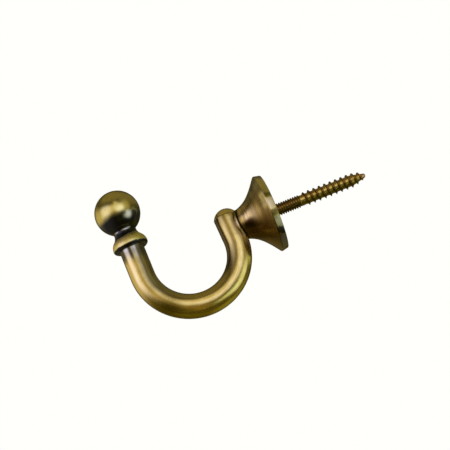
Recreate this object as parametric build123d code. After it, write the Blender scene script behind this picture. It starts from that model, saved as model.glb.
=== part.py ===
"""Curtain hook: a round-bar J hook with a ball finial, on a flared rose and a hanger bolt.

Origin at the centre of the rose's back face, which is the wall plane. +Y runs into the wall
along the bolt, +Z is up, and the hook lies in the YZ plane, opening upwards.
"""
from build123d import *
from math import atan2, ceil, cos, hypot, pi, radians, sin, tan
import os

os.makedirs("parts", exist_ok=True)

# Hook bar, in millimetres
BAR_R = 4.0
BEND_R = 15.91                  # centreline radius of the U
BEND_Y = -30.62                 # centre of the U
BEND_Z = -3.87
NEAR_LEAN = 1.5                 # how far each leg leans towards the other, in degrees
FAR_LEAN = 0.5
CROWN_R = 4.2                   # spherical crown on the end of the near leg
CROWN_Z = 2.7                   # centre of the crown
CROWN_OFFSET = 0.1              # how far the crown's centre is off the leg's axis, towards the far leg

# Finial on the far leg, measured down the leg from the ball's centre
BALL_Z = 18.68
BALL_R = 7.37
NECK_R = 3.7
NECK_DROP = 6.9
COLLAR_R = 5.78
COLLAR_DROP = 11.8
COLLAR_BASE_DROP = 12.7
COLLAR_HOLLOW_R = 3.2           # concave sweep from the neck into the collar
COLLAR_EDGE_R = 0.95
COLLAR_ROOT_FILLET = 0.35

# Saddle seat between the leg and the rose, and the boss that carries it
SEAT_Y = -11.0
SEAT_R = 10.5                   # radius of the saddle, whose axis is upright
SEAT_CUT_HEIGHT = 40.0
BOSS_R = 4.98
BOSS_LIP_Y = -12.35
BOSS_ROOT_R = 3.5
BOSS_ROOT_Y = -13.8
BORE_END_Y = -16.3
DRILL_POINT_HEIGHT = 0.8

# Rose
ROSE_NECK_R = 4.68
ROSE_NECK_Y = -12.6
ROSE_NECK_ANGLE = 10.4          # slope of the flank where it leaves the neck, in degrees
ROSE_NECK_REACH = 5.0           # length of the curve's handle at the neck
RIM_CORNER_R = 12.82
RIM_CORNER_Y = -2.2
FLARE_ANGLE = 53.0              # slope of the flank where it meets the rim, in degrees
FLARE_REACH = 6.1
RIM_BACK_R = 12.33
RIM_FILLET = 0.5
BACK_EDGE_FILLET = 0.15
ROSE_HOLE_R = 2.3
RELIEF_R = 10.0                 # shallow relief, so that the rose bears on its rim
RELIEF_DEPTH = 0.8

# Hanger bolt
MACHINE_R = 2.1                 # crest radius of the machine thread
MACHINE_START_Y = -16.0
MACHINE_END_Y = 8.8
MACHINE_CHAMFER = 0.5
WOOD_ROOT_R = 1.73
WOOD_CREST_R = 2.37
WOOD_PITCH = 1.877
WOOD_START_Y = 9.65             # the ridge grows out of the core just past the machine thread
WOOD_START_ANGLE = 162.0        # where it starts round the core, in degrees from the top
WOOD_TURNS = 11.45
WOOD_BASE_WIDTH = 1.15
WOOD_CREST_WIDTH = 0.16
WOOD_SINK = 0.25                # how deep the ridge is rooted in the core
FADE_IN_TURNS = 0.65
FADE_OUT_TURNS = 0.6
FADE_FLOOR = 0.02               # share of the ridge's height that is left at its two ends
TAPER_START_Y = 27.0
TIP_Y = 31.75
TIP_R = 0.78
SPANS_PER_TURN = 16

OVERCUT = 1.0                   # how far a cut runs past the face that it opens
SNAP = 0.001                    # tolerance for picking an edge by its radius


def profile(*curves):
    """Closed face of one connected outline."""
    return make_face(Wire(Curve() + list(curves)).edges())


def arc_between(centre, radius, start, end):
    """Arc about a centre that passes through two points, taken the short way round."""
    a = atan2(start[1] - centre[1], start[0] - centre[0])
    b = atan2(end[1] - centre[1], end[0] - centre[0])
    turn = (b - a + pi) % (2 * pi) - pi
    middle = (centre[0] + radius * cos(a + turn / 2), centre[1] + radius * sin(a + turn / 2))
    return ThreePointArc(start, middle, end)


def towards(start, end, distance):
    """Point at a distance from start, on the line to end."""
    length = hypot(end[0] - start[0], end[1] - start[1])
    return (start[0] + (end[0] - start[0]) * distance / length,
            start[1] + (end[1] - start[1]) * distance / length)


def ring_edges(shape, radius):
    """Circular edges of one radius, lowest first."""
    circles = shape.edges().filter_by(GeomType.CIRCLE)
    return circles.filter_by(lambda edge: abs(edge.radius - radius) < SNAP).sort_by(Axis.Z)


def bend_end(side):
    """Point (y, z) where the bend meets a leg. side is +1 for the near leg, -1 for the far leg."""
    lean = radians(NEAR_LEAN if side > 0 else FAR_LEAN)
    return (BEND_Y + side * BEND_R * cos(lean), BEND_Z + BEND_R * sin(lean))


def on_leg(side, height):
    """Point (y, z) on a leg's axis at a height."""
    lean = radians(NEAR_LEAN if side > 0 else FAR_LEAN)
    end_y, end_z = bend_end(side)
    return (end_y - side * (height - end_z) * tan(lean), height)


def leg_frame(side, height):
    """Frame at a height on a leg, with its own Z up along the leaning leg."""
    lean = NEAR_LEAN if side > 0 else FAR_LEAN
    return Pos(0, *on_leg(side, height)) * Rot(side * lean, 0, 0)


def bar():
    """Both legs and the bend between them, as one round bar."""
    collar_base_z = BALL_Z - COLLAR_BASE_DROP * cos(radians(FAR_LEAN))
    near_top = (0, *on_leg(1, CROWN_Z))
    near_end = (0, *bend_end(1))
    far_end = (0, *bend_end(-1))
    far_top = (0, *on_leg(-1, collar_base_z))
    bend = ThreePointArc(near_end, (0, BEND_Y, BEND_Z - BEND_R), far_end)
    path = Line(near_top, near_end) + bend + Line(far_end, far_top)
    return sweep(Plane(near_top, z_dir=path % 0) * Circle(BAR_R), path)


def crowned_end():
    """Rounded end of the near leg: a spherical crown struck a little off the leg's axis."""
    stub = extrude(Circle(BAR_R), 2 * CROWN_R)
    crown = Pos(0, -CROWN_OFFSET, 0) * Sphere(CROWN_R)
    return leg_frame(1, CROWN_Z) * (stub & crown)


def finial():
    """Ball, neck and collar, turned as one form, with every arc tangent to the next."""
    ball_centre = (0.0, 0.0)
    hollow_r = (NECK_R**2 + NECK_DROP**2 - BALL_R**2) / (2 * (BALL_R - NECK_R))
    hollow_centre = (NECK_R + hollow_r, -NECK_DROP)
    neck = (NECK_R, -NECK_DROP)
    sweep_centre = (NECK_R + COLLAR_HOLLOW_R, -NECK_DROP)
    rise = COLLAR_DROP - NECK_DROP
    gap = sweep_centre[0] - COLLAR_R
    bulge_r = (gap**2 + rise**2 - COLLAR_HOLLOW_R**2) / (2 * (COLLAR_HOLLOW_R - gap))
    bulge_centre = (COLLAR_R - bulge_r, -COLLAR_DROP)
    equator = (COLLAR_R, -COLLAR_DROP)
    edge_centre = (COLLAR_R - COLLAR_EDGE_R, -COLLAR_DROP)
    edge_fall = COLLAR_BASE_DROP - COLLAR_DROP
    base = (edge_centre[0] + (COLLAR_EDGE_R**2 - edge_fall**2) ** 0.5, -COLLAR_BASE_DROP)

    ball_foot = towards(ball_centre, hollow_centre, BALL_R)
    collar_turn = towards(sweep_centre, bulge_centre, COLLAR_HOLLOW_R)
    outline = profile(
        arc_between(ball_centre, BALL_R, (0, BALL_R), (BALL_R, 0)),
        arc_between(ball_centre, BALL_R, (BALL_R, 0), ball_foot),
        arc_between(hollow_centre, hollow_r, ball_foot, neck),
        arc_between(sweep_centre, COLLAR_HOLLOW_R, neck, collar_turn),
        arc_between(bulge_centre, bulge_r, collar_turn, equator),
        arc_between(edge_centre, COLLAR_EDGE_R, equator, base),
        Line(base, (0, -COLLAR_BASE_DROP)),
        Line((0, -COLLAR_BASE_DROP), (0, BALL_R)),
    )
    return leg_frame(-1, BALL_Z) * revolve(Plane.XZ * outline, Axis.Z)


def seat_cylinder():
    """Upright cylinder whose wall is the saddle surface of the seat."""
    return Pos(0, SEAT_Y - SEAT_R, 0) * Cylinder(SEAT_R, SEAT_CUT_HEIGHT)


def boss():
    """Short flare on the leg that widens it to the neck of the rose."""
    outline = Polyline(
        (0, BOSS_ROOT_Y), (BOSS_ROOT_R, BOSS_ROOT_Y),
        (BOSS_R, BOSS_LIP_Y), (BOSS_R, SEAT_Y), (0, SEAT_Y), close=True,
    )
    return revolve(make_face(outline), Axis.Y) & seat_cylinder()


def rose_form():
    """Trumpet flank, tapered rim band and flat back, with no openings."""
    neck = (ROSE_NECK_R, ROSE_NECK_Y)
    corner = (RIM_CORNER_R, RIM_CORNER_Y)
    lean = radians(ROSE_NECK_ANGLE)
    flare = radians(FLARE_ANGLE)
    neck_handle = (neck[0] + ROSE_NECK_REACH * sin(lean), neck[1] + ROSE_NECK_REACH * cos(lean))
    rim_handle = (corner[0] - FLARE_REACH * sin(flare), corner[1] - FLARE_REACH * cos(flare))
    outline = profile(
        Bezier(neck, neck_handle, rim_handle, corner),
        Polyline(corner, (RIM_BACK_R, 0), (0, 0), (0, ROSE_NECK_Y), neck),
    )
    form = revolve(outline, Axis.Y)
    form = fillet(ring_edges(form, RIM_CORNER_R), RIM_FILLET)
    form = fillet(ring_edges(form, RIM_BACK_R), BACK_EDGE_FILLET)
    return form - seat_cylinder()


def turned(*stations):
    """Solid turned about the Y axis from (radius, y) stations, closed along the axis."""
    outline = Polyline((0, stations[0][1]), *stations, (0, stations[-1][1]), close=True)
    return revolve(make_face(outline), Axis.Y)


def hook():
    """The whole cast hook, cut back for the rose and drilled for the bolt."""
    body = bar() + crowned_end() + finial()
    collar_root = ring_edges(body, BAR_R)[-1]
    body = fillet(collar_root, COLLAR_ROOT_FILLET)
    body = body - rose_form() + boss()
    bore = Polyline(
        (0, BORE_END_Y - DRILL_POINT_HEIGHT), (MACHINE_R, BORE_END_Y),
        (MACHINE_R, SEAT_Y + OVERCUT), (0, SEAT_Y + OVERCUT), close=True,
    )
    return body - revolve(make_face(bore), Axis.Y)


def rose():
    """The flared wall rose, drilled through and relieved at the back."""
    hole = turned((ROSE_HOLE_R, ROSE_NECK_Y - OVERCUT), (ROSE_HOLE_R, OVERCUT))
    relief = turned((RELIEF_R, -RELIEF_DEPTH), (RELIEF_R, OVERCUT))
    return rose_form() - hole - relief


def core_radius(y):
    """Root radius of the wood thread, which narrows towards the tip."""
    if y <= TAPER_START_Y:
        return WOOD_ROOT_R
    share = min((y - TAPER_START_Y) / (TIP_Y - TIP_R - TAPER_START_Y), 1.0)
    return WOOD_ROOT_R + (TIP_R - WOOD_ROOT_R) * share


def ridge_height(turn):
    """Height of the ridge, which grows in at the start and dies out at the tip."""
    fade = min(turn / FADE_IN_TURNS, (WOOD_TURNS - turn) / FADE_OUT_TURNS, 1.0)
    return (WOOD_CREST_R - WOOD_ROOT_R) * max(fade, FADE_FLOOR)


def ridge_point(turn, offset, on_crest):
    """Point on one of the ridge's four helical edges, at a number of turns from its start."""
    y = WOOD_START_Y + turn * WOOD_PITCH
    radius = core_radius(y) + (ridge_height(turn) if on_crest else -WOOD_SINK)
    angle = radians(WOOD_START_ANGLE) + 2 * pi * turn
    return (radius * sin(angle), y + offset, radius * cos(angle))


def wood_thread():
    """Helical ridge of the coarse wood thread, one closed solid built about a turn at a time."""
    base = WOOD_BASE_WIDTH / 2
    crest = WOOD_CREST_WIDTH / 2
    corners = [(-base, False), (-crest, True), (crest, True), (base, False)]
    lengths = ceil(WOOD_TURNS)
    faces = []
    for i in range(lengths):
        spans = range(i * SPANS_PER_TURN, (i + 1) * SPANS_PER_TURN + 1)
        turns = [span * WOOD_TURNS / (lengths * SPANS_PER_TURN) for span in spans]
        edges = [Spline([ridge_point(turn, *corner) for turn in turns]).edge() for corner in corners]
        for this, following in zip(edges, edges[1:] + edges[:1]):
            faces.append(Face.make_surface_from_curves(this, following))
    for turn in (0, WOOD_TURNS):
        ends = [ridge_point(turn, *corner) for corner in corners]
        faces.append(make_face(Polyline(ends, close=True)).face())
    return Solid(Shell(faces))


def hanger_bolt():
    """Machine thread end at its crest size, and the wood thread on its tapering core."""
    core_end = TIP_Y - TIP_R
    outline = profile(
        Polyline(
            (0, MACHINE_START_Y),
            (MACHINE_R - MACHINE_CHAMFER, MACHINE_START_Y),
            (MACHINE_R, MACHINE_START_Y + MACHINE_CHAMFER),
            (MACHINE_R, MACHINE_END_Y),
            (WOOD_ROOT_R, MACHINE_END_Y + MACHINE_R - WOOD_ROOT_R),
            (WOOD_ROOT_R, TAPER_START_Y),
            (TIP_R, core_end),
        ),
        arc_between((0, core_end), TIP_R, (TIP_R, core_end), (0, TIP_Y)),
        Line((0, TIP_Y), (0, MACHINE_START_Y)),
    )
    return revolve(outline, Axis.Y) + wood_thread()


for name, make in (("hook", hook), ("rose", rose), ("hanger_bolt", hanger_bolt)):
    shape = make()
    print(name, "valid" if shape.is_valid else "NOT VALID", f"{shape.volume:.1f} mm3")
    export_step(shape, f"parts/{name}.step")
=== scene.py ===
"""Looks for the curtain hook: relieved antique brass hook and rose, yellow passivated hanger bolt."""

import math
from types import SimpleNamespace

import bmesh
import bpy
import numpy as np
from mathutils import Matrix, Vector


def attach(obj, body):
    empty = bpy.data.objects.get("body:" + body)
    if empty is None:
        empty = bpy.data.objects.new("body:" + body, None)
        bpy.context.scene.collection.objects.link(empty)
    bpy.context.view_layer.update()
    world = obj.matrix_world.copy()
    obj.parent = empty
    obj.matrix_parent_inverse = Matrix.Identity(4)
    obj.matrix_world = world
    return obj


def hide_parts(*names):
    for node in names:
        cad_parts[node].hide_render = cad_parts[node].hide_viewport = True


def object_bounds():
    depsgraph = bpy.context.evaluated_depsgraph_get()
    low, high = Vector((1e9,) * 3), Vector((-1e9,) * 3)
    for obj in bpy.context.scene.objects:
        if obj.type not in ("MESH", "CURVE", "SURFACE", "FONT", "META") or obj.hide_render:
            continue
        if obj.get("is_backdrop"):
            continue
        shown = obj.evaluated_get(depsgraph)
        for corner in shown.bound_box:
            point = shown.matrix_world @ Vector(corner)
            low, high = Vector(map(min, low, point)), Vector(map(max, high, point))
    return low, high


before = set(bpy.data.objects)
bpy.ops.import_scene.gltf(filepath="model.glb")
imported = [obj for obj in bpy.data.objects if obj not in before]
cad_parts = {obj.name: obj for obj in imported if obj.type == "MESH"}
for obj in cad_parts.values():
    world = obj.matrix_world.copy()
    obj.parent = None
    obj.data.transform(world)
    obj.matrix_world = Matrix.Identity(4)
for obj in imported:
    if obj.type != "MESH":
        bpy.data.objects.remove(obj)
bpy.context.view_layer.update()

MM = 0.001

# Camera: where it looks from, its roll, and the point it looks at
VIEW_AZIMUTH = 84.275
VIEW_ELEVATION = -16.0
VIEW_ROLL = 23.36
CAMERA_DISTANCE = 0.6667
SENSOR_WIDTH = 36.0              # millimetres
LENS = 167.42                    # millimetres
AIM = (0.0, -13.0, 0.0)          # millimetres, before the sideways framing
FRAMING = (-3.523, 0.507)        # millimetres across and up, in the picture's own directions

# Forms of the part, in millimetres, degrees and turns. All but the machine thread's pitch, depth and
# run-out are the CAD's.
BAR_R = 4.0
BEND_R = 15.91                  # centreline radius of the U
BEND_Y = -30.62                 # centre of the U
BEND_Z = -3.87
NEAR_LEAN = 1.5                 # how far each leg leans towards the other, in degrees
FAR_LEAN = 0.5
CROWN_R = 4.2                   # spherical crown on the end of the near leg
CROWN_Z = 2.7                   # centre of the crown
CROWN_OFFSET = 0.1              # how far the crown's centre is off the leg's axis, towards the far leg
BALL_Z = 18.68
BALL_R = 7.37
NECK_R = 3.7
NECK_DROP = 6.9
COLLAR_R = 5.78
COLLAR_DROP = 11.8
COLLAR_BASE_DROP = 12.7
COLLAR_HOLLOW_R = 3.2           # concave sweep from the neck into the collar
COLLAR_EDGE_R = 0.95
COLLAR_ROOT_FILLET = 0.35
SEAT_Y = -11.0
SEAT_R = 10.5                   # radius of the saddle, whose axis is upright
BORE_END_Y = -16.3
DRILL_POINT_HEIGHT = 0.8
BOSS_R = 4.98
BOSS_LIP_Y = -12.35
BOSS_ROOT_R = 3.5
BOSS_ROOT_Y = -13.8
ROSE_NECK_R = 4.68
ROSE_NECK_Y = -12.6
ROSE_NECK_ANGLE = 10.4          # slope of the flank where it leaves the neck, in degrees
ROSE_NECK_REACH = 5.0           # length of the curve's handle at the neck
RIM_CORNER_R = 12.82
RIM_CORNER_Y = -2.2
FLARE_ANGLE = 53.0              # slope of the flank where it meets the rim, in degrees
FLARE_REACH = 6.1
RIM_BACK_R = 12.33
RIM_FILLET = 0.5
BACK_EDGE_FILLET = 0.15
ROSE_HOLE_R = 2.3
RELIEF_R = 10.0                 # shallow relief, so that the rose bears on its rim
RELIEF_DEPTH = 0.8
MACHINE_R = 2.1                 # crest radius of the machine thread
MACHINE_START_Y = -16.0
MACHINE_END_Y = 8.8
MACHINE_PITCH = 0.794
MACHINE_DEPTH = 0.43
MACHINE_CHAMFER = 0.5
MACHINE_RUN_OUT = 0.39
WOOD_ROOT_R = 1.73
WOOD_CREST_R = 2.37
WOOD_PITCH = 1.877
WOOD_START_Y = 9.65             # the ridge grows out of the core just past the machine thread
WOOD_START_ANGLE = 162.0        # where it starts round the core, in degrees from the top
WOOD_TURNS = 11.45
WOOD_BASE_WIDTH = 1.15
WOOD_CREST_WIDTH = 0.16
FADE_IN_TURNS = 0.65
FADE_OUT_TURNS = 0.6
TAPER_START_Y = 27.0
TIP_Y = 31.75
TIP_R = 0.78


def new_object(name, data):
    obj = bpy.data.objects.new(name, data)
    bpy.context.scene.collection.objects.link(obj)
    return obj


# ---------------------------------------------------------------- camera

def direction(azimuth, elevation):
    """Unit vector towards a place round the object. Azimuth 90 is +X, 0 is -Y."""
    a, e = math.radians(azimuth), math.radians(elevation)
    return Vector((math.sin(a) * math.cos(e), -math.cos(a) * math.cos(e), math.sin(e)))


def make_camera():
    a, r = math.radians(VIEW_AZIMUTH), math.radians(VIEW_ROLL)
    back = direction(VIEW_AZIMUTH, VIEW_ELEVATION)
    right = Vector((math.cos(a), math.sin(a), 0))
    up = back.cross(right)
    across = math.cos(r) * right - math.sin(r) * up
    upward = math.sin(r) * right + math.cos(r) * up
    place = Vector(AIM) * MM + back * CAMERA_DISTANCE
    aim = Vector(AIM) * MM + across * FRAMING[0] * MM + upward * FRAMING[1] * MM
    z = (place - aim).normalized()
    x = upward.cross(z).normalized()
    y = z.cross(x)
    cam = new_object("camera", bpy.data.cameras.new("camera"))
    cam.data.sensor_width = SENSOR_WIDTH
    cam.data.lens = LENS
    cam.data.clip_start, cam.data.clip_end = 0.01, 50
    cam.matrix_world = Matrix((
        (x[0], y[0], z[0], place[0]),
        (x[1], y[1], z[1], place[1]),
        (x[2], y[2], z[2], place[2]),
        (0, 0, 0, 1),
    ))
    bpy.context.scene.camera = cam


# ---------------------------------------------------------------- node helpers

class Nodes:
    """Short hand for building a node tree. Values may be numbers, tuples or sockets."""

    def __init__(self, tree):
        self.tree = tree
        tree.nodes.clear()

    def put(self, socket, value):
        if isinstance(value, bpy.types.NodeSocket):
            self.tree.links.new(value, socket)
        else:
            socket.default_value = value

    def add(self, kind, **inputs):
        node = self.tree.nodes.new(kind)
        for key, value in inputs.items():
            self.put(node.inputs[key], value)
        return node

    def operate(self, kind, operation, values):
        node = self.tree.nodes.new(kind)
        node.operation = operation
        for socket, value in zip(node.inputs, values):
            self.put(socket, value)
        return node

    def math(self, operation, *values):
        return self.operate("ShaderNodeMath", operation, values).outputs[0]

    def plus(self, a, b):
        return self.math("ADD", a, b)

    def minus(self, a, b):
        return self.math("SUBTRACT", a, b)

    def times(self, first, *others):
        for value in others:
            first = self.math("MULTIPLY", first, value)
        return first

    def largest(self, first, *others):
        for value in others:
            first = self.math("MAXIMUM", first, value)
        return first

    def length(self, a, b):
        """Length of the vector (a, b)."""
        return self.math("SQRT", self.plus(self.math("POWER", a, 2.0), self.math("POWER", b, 2.0)))

    def angle(self, a, b):
        """Angle of the vector (a, b) from its second direction, in degrees."""
        return self.math("DEGREES", self.math("ARCTAN2", a, b))

    def ramp(self, value, a, b, low=0.0, high=1.0):
        """Smooth step of value from a to b, giving low to high."""
        node = self.tree.nodes.new("ShaderNodeMapRange")
        node.interpolation_type = "SMOOTHSTEP"
        for socket, number in zip(node.inputs, (value, a, b, low, high)):
            self.put(socket, number)
        return node.outputs[0]

    def fall(self, value, a, b):
        """One below a, fading to none at b."""
        return self.ramp(value, a, b, 1.0, 0.0)

    def band(self, value, low, high, soft):
        """One between low and high, with soft edges."""
        start = self.ramp(value, low - soft, low + soft)
        return self.times(start, self.fall(value, high - soft, high + soft))

    def near(self, place, centre, inner, outer):
        """One within the inner distance of a point, fading to none at the outer."""
        node = self.operate("ShaderNodeVectorMath", "DISTANCE", (place, centre))
        return self.fall(node.outputs["Value"], inner, outer)

    def noise(self, vector, scale, detail, rough):
        node = self.add("ShaderNodeTexNoise", Vector=vector, Scale=scale, Detail=detail, Roughness=rough)
        return node.outputs["Fac"]

    def swing(self, noise, amount):
        """Noise about zero, amount being the whole of its range."""
        return self.times(self.minus(noise, 0.5), amount)

    def mix(self, share, a, b):
        """Colour a, turning to b as the share goes from none to one."""
        node = self.tree.nodes.new("ShaderNodeMix")
        node.data_type = "RGBA"
        for index, value in ((0, share), (6, a), (7, b)):
            self.put(node.inputs[index], (*value, 1) if isinstance(value, tuple) else value)
        return node.outputs[2]

    def paint(self, colour, layers):
        """Colour under layers of (mask, strength, colour), each laid over the ones before it."""
        for mask, strength, layer in layers:
            if strength < 1:
                mask = self.times(mask, strength)
            colour = self.mix(mask, colour, layer)
        return colour

    def output(self, kind, shader):
        out = self.tree.nodes.new("ShaderNodeOutput" + kind)
        self.put(out.inputs[0], shader.outputs[0])


def new_material(name):
    material = bpy.data.materials.new(name)
    material.use_nodes = True
    return material, Nodes(material.node_tree)


# ---------------------------------------------------------------- studio

ROOM_LIGHT = (0.95, 0.95, 0.93, 1)
ROOM_STRENGTH = 0.9
BACKDROP_WHITE = (1.0, 1.0, 0.965, 1)
FLOOR_WHITE = (0.96, 0.96, 0.94, 1)
FLOOR_HALF = 6.0
FLOOR_Z = -0.75
# Name, azimuth, elevation, size in metres, watts
LAMPS = (("key", 26, 40, 0.5, 3.0), ("fill", 120, 35, 0.6, 2.0))
LAMP_DISTANCE = 1.0

# Soft cards of the tent, later over earlier. Azimuth, elevation, half width, half height and softness are
# in degrees, and the colour is last.
CARDS = (
    (182, 40, 52, 24, 24, (0.190, 0.165, 0.065)),
    (-78, -12, 20, 14, 20, (0.15, 0.12, 0.05)),
    (30, 12, 80, 22, 24, (0.56, 0.47, 0.23)),
    (128, 14, 32, 20, 22, (0.40, 0.35, 0.15)),
    (230, -50, 34, 24, 26, (0.24, 0.23, 0.035)),
    (-50, -58, 38, 20, 26, (0.14, 0.12, 0.008)),
    (80, -30, 13, 26, 16, (0.25, 0.18, 0.03)),
    (190, -7, 20, 6, 10, (0.62, 0.68, 0.22)),
    (128, -39, 23, 10, 13, (0.80, 0.92, 0.52)),
    (152, -29, 21, 19, 13, (0.95, 1.08, 0.80)),
    (32, 17, 23, 19, 24, (1.12, 1.08, 1.28)),
    (106, 8, 20, 17, 22, (1.12, 1.14, 1.28)),
    (95, 32, 8, 14, 14, (0.85, 0.76, 0.50)),
)
CARD_TOP = (0.215, 0.178, 0.062)
CARD_MIDDLE = (0.065, 0.054, 0.018)
CARD_UNDER = (0.090, 0.072, 0.008)
TENT_RADIUS = 0.65
TENT_ROWS = 24
TENT_COLUMNS = 48


def make_world():
    world = bpy.data.worlds.new("studio")
    bpy.context.scene.world = world
    world.use_nodes = True
    n = Nodes(world.node_tree)
    path = n.add("ShaderNodeLightPath").outputs
    seen = n.largest(path["Is Camera Ray"], path["Is Glossy Ray"], path["Is Transmission Ray"])
    light = n.add("ShaderNodeBackground", Color=ROOM_LIGHT, Strength=ROOM_STRENGTH)
    white = n.add("ShaderNodeBackground", Color=BACKDROP_WHITE, Strength=1.0)
    mix = n.add("ShaderNodeMixShader")
    for socket, value in zip(mix.inputs, (seen, light.outputs[0], white.outputs[0])):
        n.put(socket, value)
    n.output("World", mix)


def make_floor():
    mesh = bpy.data.meshes.new("floor")
    s, z = FLOOR_HALF, FLOOR_Z
    mesh.from_pydata([(-s, -s, z), (s, -s, z), (s, s, z), (-s, s, z)], [], [(0, 1, 2, 3)])
    material, n = new_material("floor")
    n.output("Material", n.add("ShaderNodeBsdfDiffuse", Color=FLOOR_WHITE))
    mesh.materials.append(material)
    floor = new_object("floor", mesh)
    floor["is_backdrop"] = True


def tent_mesh():
    """Sphere round the object, of rows of points between two poles."""
    points = []
    for i in range(1, TENT_ROWS):
        e = math.pi * i / TENT_ROWS - math.pi / 2
        level, z = TENT_RADIUS * math.cos(e), TENT_RADIUS * math.sin(e)
        for j in range(TENT_COLUMNS):
            a = 2 * math.pi * j / TENT_COLUMNS
            points.append((level * math.cos(a), level * math.sin(a), z))
    south, north = len(points), len(points) + 1
    points += [(0, 0, -TENT_RADIUS), (0, 0, TENT_RADIUS)]
    faces = []
    for i in range(TENT_ROWS - 2):
        row, above = i * TENT_COLUMNS, (i + 1) * TENT_COLUMNS
        for j in range(TENT_COLUMNS):
            k = (j + 1) % TENT_COLUMNS
            faces.append((row + j, row + k, above + k, above + j))
    top = (TENT_ROWS - 2) * TENT_COLUMNS
    for j in range(TENT_COLUMNS):
        k = (j + 1) % TENT_COLUMNS
        faces += [(south, k, j), (north, top + j, top + k)]
    mesh = bpy.data.meshes.new("tent")
    mesh.from_pydata(points, [], faces)
    return mesh


def tent_material():
    """Glow of the cards, by azimuth and elevation from the tent's centre."""
    material, n = new_material("tent")
    place = n.add("ShaderNodeTexCoord").outputs["Object"]
    x, y, z = n.add("ShaderNodeSeparateXYZ", Vector=place).outputs
    azimuth = n.angle(x, n.times(y, -1.0))
    elevation = n.angle(z, n.length(x, y))
    colour = n.mix(n.ramp(elevation, -25.0, -5.0), CARD_UNDER, CARD_MIDDLE)
    colour = n.mix(n.ramp(elevation, 48.0, 66.0), colour, CARD_TOP)
    for card_azimuth, card_elevation, wide, tall, soft, card in CARDS:
        turn = n.math("ABSOLUTE", n.math("WRAP", n.minus(azimuth, card_azimuth), 180.0, -180.0))
        rise = n.math("ABSOLUTE", n.minus(elevation, card_elevation))
        half = soft / 2
        mask = n.times(n.fall(turn, wide - half, wide + half), n.fall(rise, tall - half, tall + half))
        colour = n.mix(mask, colour, card)
    n.output("Material", n.add("ShaderNodeEmission", Color=colour, Strength=1.0))
    material.cycles.emission_sampling = "NONE"
    return material


def make_tent():
    """Soft cards all round the object, bright and dim, that only reflections show."""
    lo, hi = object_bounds()             # before the tent is there to be counted
    tent = new_object("tent", tent_mesh())
    tent.location = (lo + hi) / 2
    for ray in ("camera", "diffuse", "transmission", "volume_scatter", "shadow"):
        setattr(tent, "visible_" + ray, False)
    tent.data.materials.append(tent_material())
    tent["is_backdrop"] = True


def make_lamps():
    lo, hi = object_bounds()
    centre = (lo + hi) / 2
    for name, azimuth, elevation, size, watts in LAMPS:
        lamp = bpy.data.lights.new(name, "AREA")
        lamp.shape = "SQUARE"
        lamp.size = size
        lamp.energy = watts
        obj = new_object(name, lamp)
        obj.location = centre + direction(azimuth, elevation) * LAMP_DISTANCE
        obj.rotation_mode = "QUATERNION"
        obj.rotation_quaternion = direction(azimuth, elevation).to_track_quat("Z", "Y")
        obj.visible_camera = False
        obj.visible_glossy = False


# ---------------------------------------------------------------- hook and rose

AROUND = 128                     # points round every turned or swept skin
ROUND = np.arange(AROUND) / AROUND * 2 * math.pi
ACROSS, ALONG = np.sin(ROUND), np.cos(ROUND)   # places on a ring of radius 1, ACROSS being along X
START_SHARE = 0.05               # of the way out from a pole to the full ring, where the rings begin
AXIS_R = 0.05                    # ring nearest the pole of the bore
BALL_START_R = 0.12              # ring nearest the ball's top
SADDLE_GAP = 0.02                # between the leg's own skin and the saddle under the rose
CLOSE_GAP = 0.001                # between the relief's last ring and the mouth of the hole
RIM_POINTS = 10
BACK_EDGE_POINTS = 5
CROWN_RINGS = 22
NEAR_LEG_RINGS = 14
BEND_RINGS = 150
FAR_LEG_RINGS = 20
BOSS_RINGS = 24
BOSS_END_RINGS = 12
SADDLE_RINGS = 14
FLANK_RINGS = 90
FLANK_POINTS = 400
HALVINGS = 40                    # steps of the search for the edge of the saddle
HOLE_MIDDLE_Y = -6.0
SADDLE_TOP_Y = -8.0              # past every place where the flank meets the saddle
SHARP = 35.0                     # degrees from which an edge is shaded sharp
ROSE_SHARP = 28.0
BOLT_SHARP = 38.0


def arc(centre, radius, start, end, count):
    """Points on an arc about a centre, taken the short way round from start to end."""
    a = math.atan2(start[1] - centre[1], start[0] - centre[0])
    b = math.atan2(end[1] - centre[1], end[0] - centre[0])
    turn = (b - a + math.pi) % (2 * math.pi) - math.pi
    angles = a + turn * np.linspace(0, 1, count)
    return np.stack([centre[0] + radius * np.cos(angles), centre[1] + radius * np.sin(angles)], -1)


def line(start, end, count):
    return np.array(start) + (np.array(end) - np.array(start)) * np.linspace(0, 1, count)[:, None]


def towards(start, end, distance):
    """Point at a distance from start, on the way to end."""
    start, end = np.array(start), np.array(end)
    return start + (end - start) * distance / np.linalg.norm(end - start)


def join(*runs):
    """One outline from runs that share their end points."""
    return np.vstack([runs[0]] + [run[1:] for run in runs[1:]])


def rounded(before, corner, after, radius, count):
    """Fillet of a corner between two straight sides, as points from the first tangent to the second."""
    before, corner, after = (np.array(p, float) for p in (before, corner, after))
    u = (before - corner) / np.linalg.norm(before - corner)
    v = (after - corner) / np.linalg.norm(after - corner)
    half = math.acos(float(np.clip(u @ v, -1, 1))) / 2
    bisector = (u + v) / np.linalg.norm(u + v)
    centre = corner + bisector * radius / math.sin(half)
    reach = radius / math.tan(half)
    return arc(centre, radius, corner + u * reach, corner + v * reach, count)


def tidy_mesh(mesh, sharp):
    """Faces outward, no doubled points, smooth shading with edges sharp above an angle."""
    bm = bmesh.new()
    bm.from_mesh(mesh)
    bmesh.ops.remove_doubles(bm, verts=bm.verts, dist=1e-7)
    bmesh.ops.recalc_face_normals(bm, faces=bm.faces)
    bm.to_mesh(mesh)
    bm.free()
    mesh.polygons.foreach_set("use_smooth", [True] * len(mesh.polygons))
    mesh.set_sharp_from_angle(angle=math.radians(sharp))


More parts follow.
